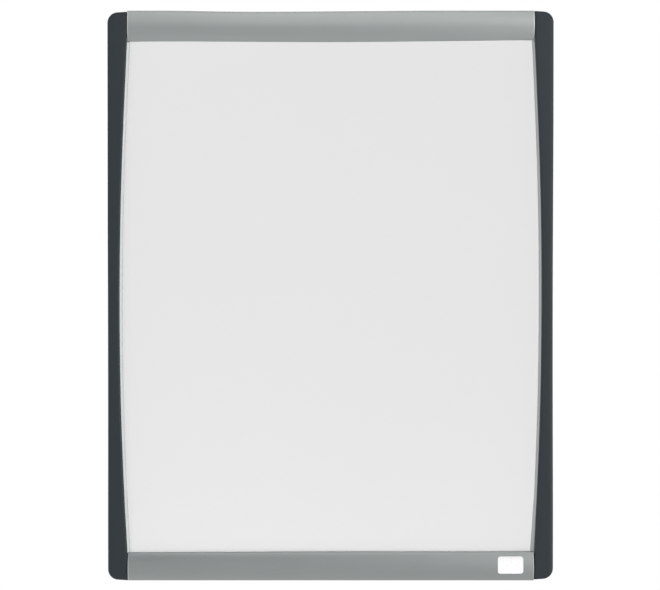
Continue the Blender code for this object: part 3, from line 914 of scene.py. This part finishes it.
def lip(name, node_name, side):
    section = [
        (-1.9 * MM, Y_ON_SHEET),
        (3.5 * MM, Y_ON_SHEET),
        (3.5 * MM, Y_ON_SHEET - 1.0 * MM),
        (-0.1 * MM, Y_ON_SHEET - 1.0 * MM),
        (-0.1 * MM, Y_ON_SHEET - 1.72 * MM),
    ]
    section = filleted(section, [0, 0.2 * MM, 0.2 * MM, 0, 0.08 * MM], 5)
    # The slope that shows, slightly crowned.
    for step in range(1, 13):
        along = step / 12
        crown = 0.09 * math.sin(math.pi * along)
        section.append(
            (
                (-0.1 - 1.8 * along - 0.64 * crown) * MM,
                Y_ON_SHEET - (1.72 - 1.5 * along + 0.77 * crown) * MM,
            )
        )
    top, bottom = (between(RAISED["inner", up], side * 127 * MM) for up in (1, -1))
    low = math.asin((-RAIL_INNER_Z - LOWERED_BOTTOM + GAP + bottom) / ARC_RADIUS)
    high = math.asin((RAIL_INNER_Z - LOWERED_TOP - GAP + top) / ARC_RADIUS)
    centre_x = X_MID - ARC_RADIUS
    rings = []
    for i in range(97):
        angle = low + (high - low) * i / 96
        radius_x, radius_z = math.cos(angle), math.sin(angle)
        moved = nearer(side, ARC_RADIUS * radius_z)
        foot = max(0.0, -ARC_RADIUS * radius_z / MM - 128) / 32
        wider = LIP_WIDTH[side] + WIDER_FOOT[side] * foot
        ring = []
        for u, y in section:
            radius = ARC_RADIUS + (u * wider if u < 0 else u)
            ring.append((side * (centre_x + radius * radius_x - moved), y, radius * radius_z))
        rings.append(ring)
    return piece(name, bridged(name, rings), LIP, [node_name], 40.0)


lip("left_lip_strip", "left_inner_lip", -1)
lip("right_lip_strip", "right_inner_lip", 1)


# Corner brackets
def corner_bracket(name, node_name, side, up):
    outline = filleted(
        [(112.4, 162.6), (137.2, 162.6), (137.2, 176.0), (112.4, 176.0)],
        [0.6, 0.6, 3.8, 0.6],
        8,
    )

    def placed(points):
        return [(side * x * MM, up * z * MM) for x, z in points]

    y_front, y_rear, plate = Y_SHEET_FRONT, -0.8 * MM, 2.0 * MM
    body = linked(name, prism(name, placed(outline), y_front, y_rear))
    cavity = filleted(
        [(119.2, 163.8), (130.4, 163.8), (130.4, 174.8), (119.2, 174.8)], [1.0] * 4, 4
    )
    tools = [
        (
            "DIFFERENCE",
            linked("tool", prism("tool", placed(cavity), y_front + 1.2 * MM, y_rear - plate)),
        ),
        (
            "DIFFERENCE",
            rod_tool(
                side * 123.2 * MM, up * 167.6 * MM, 3.5 * MM, y_rear - plate - 0.4 * MM, 1 * MM
            ),
        ),
    ]
    for span in (
        [(121.4, 167.6), (125.0, 167.6), (125.0, 174.3), (121.4, 174.3)],
        [(123.2, 165.8), (129.9, 165.8), (129.9, 169.4), (123.2, 169.4)],
    ):
        slot = placed(filleted(span, [1.79] * 4, 8))
        tools.append(
            (
                "DIFFERENCE",
                linked("tool", prism("tool", slot, y_rear - plate - 0.4 * MM, 1 * MM)),
            )
        )
    for x in (133.6, 116.2):
        spot = (side * x * MM, up * 169.6 * MM)
        tools.append(("DIFFERENCE", rod_tool(*spot, 1.75 * MM, y_front - 1 * MM, -2.4 * MM, 32)))
        tools.append(("DIFFERENCE", rod_tool(*spot, 3.0 * MM, -2.7 * MM, 1 * MM, 40)))
    mesh = softened(cleaned(carved(body, tools)), 0.16 * MM, 2, 50.0)
    return piece(name, mesh, BLACK, [node_name], 30.0)


# Pan-head screws with a cross recess and a threaded shank
def screw_mesh():
    length, head = 10.8, 2.7
    profile = [(0.0, 1.5), (0.7, 1.49), (1.3, 1.44), (1.8, 1.32), (2.2, 1.12), (2.5, 0.84)]
    profile += [(2.66, 0.5), (head, 0.28), (head, 0.06), (2.64, 0.0), (1.5, 0.0)]
    sides, pitch, turns_from = 40, 1.1, -0.6
    thread = []
    steps = 96
    for i in range(1, steps + 1):
        depth = turns_from - (length - 2.4 + turns_from) * i / steps
        thread.append(depth)
    bm = bmesh.new()
    rings = []
    for radius, z in profile[1:]:
        rings.append([(radius, k, z) for k in range(sides)])
    for depth in [-0.3, turns_from] + thread:
        ring = []
        for k in range(sides):
            phase = (depth / pitch + k / sides) % 1.0
            crest = max(0.0, 1.0 - abs(phase - 0.5) / 0.28) if depth < turns_from else 0.0
            ring.append((1.12 + 0.32 * crest, k, depth))
        rings.append(ring)
    tip = rings[-1][0][2]
    for part in (0.35, 0.7):
        rings.append([(1.12 * (1 - part), k, tip - 1.7 * part) for k in range(sides)])
    made = []
    for ring in rings:
        made.append(
            [
                bm.verts.new(
                    (
                        r * MM * math.cos(2 * math.pi * k / sides),
                        r * MM * math.sin(2 * math.pi * k / sides),
                        z * MM,
                    )
                )
                for r, k, z in ring
            ]
        )
    for low, high in zip(made, made[1:]):
        for k in range(sides):
            j = (k + 1) % sides
            bm.faces.new((low[k], low[j], high[j], high[k]))
    for end, z in ((made[0], 1.5), (made[-1], -length)):
        point = bm.verts.new((0, 0, z * MM))
        for k in range(sides):
            bm.faces.new((end[k], end[(k + 1) % sides], point))
    body = linked("screw", mesh_of("screw", bm))
    arms = []
    for turn in (0.0, math.pi / 2):
        bm = bmesh.new()
        bmesh.ops.create_cube(bm, size=1.0)
        for vert in bm.verts:
            deep = vert.co.z < 0
            vert.co.x *= (1.7 if deep else 3.4) * MM
            vert.co.y *= (0.5 if deep else 0.72) * MM
            vert.co.z = (0.25 if deep else 1.9) * MM
        bmesh.ops.rotate(bm, verts=bm.verts, matrix=Matrix.Rotation(turn, 3, "Z"))
        arms.append(("DIFFERENCE", linked("tool", mesh_of("tool", bm))))
    mesh = cleaned(carved(body, arms))
    return mesh


SCREW = screw_mesh()


def screw(name, node_name, x, z, turn):
    mesh = SCREW.copy()
    mesh.name = name
    mesh.transform(
        Matrix.Translation((x, -2.4 * MM, z))
        @ Matrix.Rotation(-math.pi / 2, 4, "X")
        @ Matrix.Rotation(math.radians(turn), 4, "Z")
    )
    return piece(name, mesh, SCREW_METAL, [node_name], 30.0)


# Foam pads: rounded squares whose sides swell a little, with a slightly uneven edge
def foam_pad(name, node_name, x, z, seed):
    def outline(amount):
        half = 12.4 * MM + amount
        corner = 2.9 * MM + amount
        return filleted(
            [(-half, -half), (half, -half), (half, half), (-half, half)], [corner] * 4, 10
        )

    def divided(points):
        result = []
        for i, here in enumerate(points):
            after = Vector(points[(i + 1) % len(points)])
            here = Vector(here)
            count = max(1, round((after - here).length / (0.9 * MM)))
            result += [tuple(here.lerp(after, k / count)) for k in range(count)]
        return result

    base = divided(outline(0.0))
    levels = [
        (-2.9, -0.28),
        (-2.86, -0.12),
        (-2.74, -0.02),
        (-2.3, 0.05),
        (-1.45, 0.09),
        (-0.6, 0.05),
        (-0.16, -0.02),
        (-0.04, -0.12),
        (0.0, -0.28),
    ]
    rings = []
    for y, out in levels:
        ring = []
        for px, pz in inset_ring(base, -out * MM):
            rough = 0.05 * MM * noise.noise(Vector((px * 900, y * 2.0, pz * 900 + seed)))
            reach = Vector((px, pz))
            reach += reach.normalized() * rough
            ring.append((x + reach.x, y * MM, z + reach.y))
        rings.append(ring)
    made = piece(name, bridged(name, rings), FOAM, [node_name], 50.0)
    return made


for vertical, up in (("top", 1), ("bottom", -1)):
    for horizontal, side in (("left", -1), ("right", 1)):
        corner = f"{vertical}_{horizontal}"
        corner_bracket(f"bracket_{corner}", f"corner_bracket_{corner}", side, up)
        screw(
            f"side_screw_{corner}",
            f"side_rail_screw_{corner}",
            side * 133.6 * MM,
            up * 169.6 * MM,
            17 + 31 * side + 12 * up,
        )
        screw(
            f"rail_screw_{corner}",
            f"{vertical}_rail_screw_{horizontal}",
            side * 116.2 * MM,
            up * 169.6 * MM,
            52 - 23 * side + 9 * up,
        )
        foam_pad(
            f"pad_{corner}", f"foam_pad_{corner}", side * 84 * MM, up * 116 * MM, up + 2 * side
        )
foam_pad("pad_center", "foam_pad_center", 0.0, 0.0, 9.0)


# Plain label on the bottom rail, bent to its convex front
def plain_label():
    half_x, half_s = 8.0 * MM, 5.3 * MM
    corner = 1.6 * MM
    outline = filleted(
        [(-half_x, -half_s), (half_x, -half_s), (half_x, half_s), (-half_x, half_s)],
        [corner] * 4,
        8,
    )
    centre_y = Y_RAIL_CREST + CREST_RADIUS

    def on_rail(u, s, radius):
        angle = math.asin((CREST_Z - 169.2 * MM + s) / (CREST_RADIUS + GAP))
        return (
            113.2 * MM + u,
            centre_y - radius * math.cos(angle),
            -CREST_Z + radius * math.sin(angle),
        )

    rings = []
    low = CREST_RADIUS + GAP
    for amount, rise in ((0.05, 0.0), (0.0, 0.06), (0.0, 0.2), (0.03, 0.26), (0.1, 0.295), (0.2, 0.3)):
        points = inset_ring(outline, amount * MM)
        rings.append([on_rail(u, s, low + rise * MM) for u, s in points])
    bm = bmesh.new()
    made = [[bm.verts.new(p) for p in ring] for ring in rings]
    count = len(outline)
    for a, b in zip(made, made[1:]):
        for i in range(count):
            j = (i + 1) % count
            bm.faces.new((a[i], a[j], b[j], b[i]))
    # Rows of quads across the label, from its lower to its upper edge.
    left = sorted((i for i in range(count) if outline[i][0] < 0), key=lambda i: outline[i][1])
    right = sorted((i for i in range(count) if outline[i][0] > 0), key=lambda i: outline[i][1])
    for ring in (made[0], made[-1]):
        for (a, b), (c, d) in zip(zip(left, right), zip(left[1:], right[1:])):
            bm.faces.new((ring[a], ring[b], ring[d], ring[c]))
    return piece(
        "plain_label", mesh_of("plain_label", bm), LABEL, ["blank_label"], 40.0
    )


plain_label()

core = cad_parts["core_board"]
core.data.materials.clear()
core.data.materials.append(FIBRE)


# Plain pale floor below the board. It shows white and casts nothing on the board.
bm = bmesh.new()
bmesh.ops.create_grid(bm, x_segments=1, y_segments=1, size=6.0)
floor = linked("floor", mesh_of("floor", bm))
floor.location = (0.0, 0.0, -0.30)
floor_material = bpy.data.materials.new("pale_floor")
floor_material.use_nodes = True
floor_tree = floor_material.node_tree
floor_tree.nodes.clear()
glow = floor_tree.nodes.new("ShaderNodeEmission")
glow.inputs["Color"].default_value = (1.0, 1.0, 1.0, 1.0)
glow.inputs["Strength"].default_value = 1.0
floor_out = floor_tree.nodes.new("ShaderNodeOutputMaterial")
floor_tree.links.new(glow.outputs[0], floor_out.inputs["Surface"])
floor.data.materials.append(floor_material)
floor.visible_diffuse = False
floor.visible_glossy = False
floor.visible_shadow = False
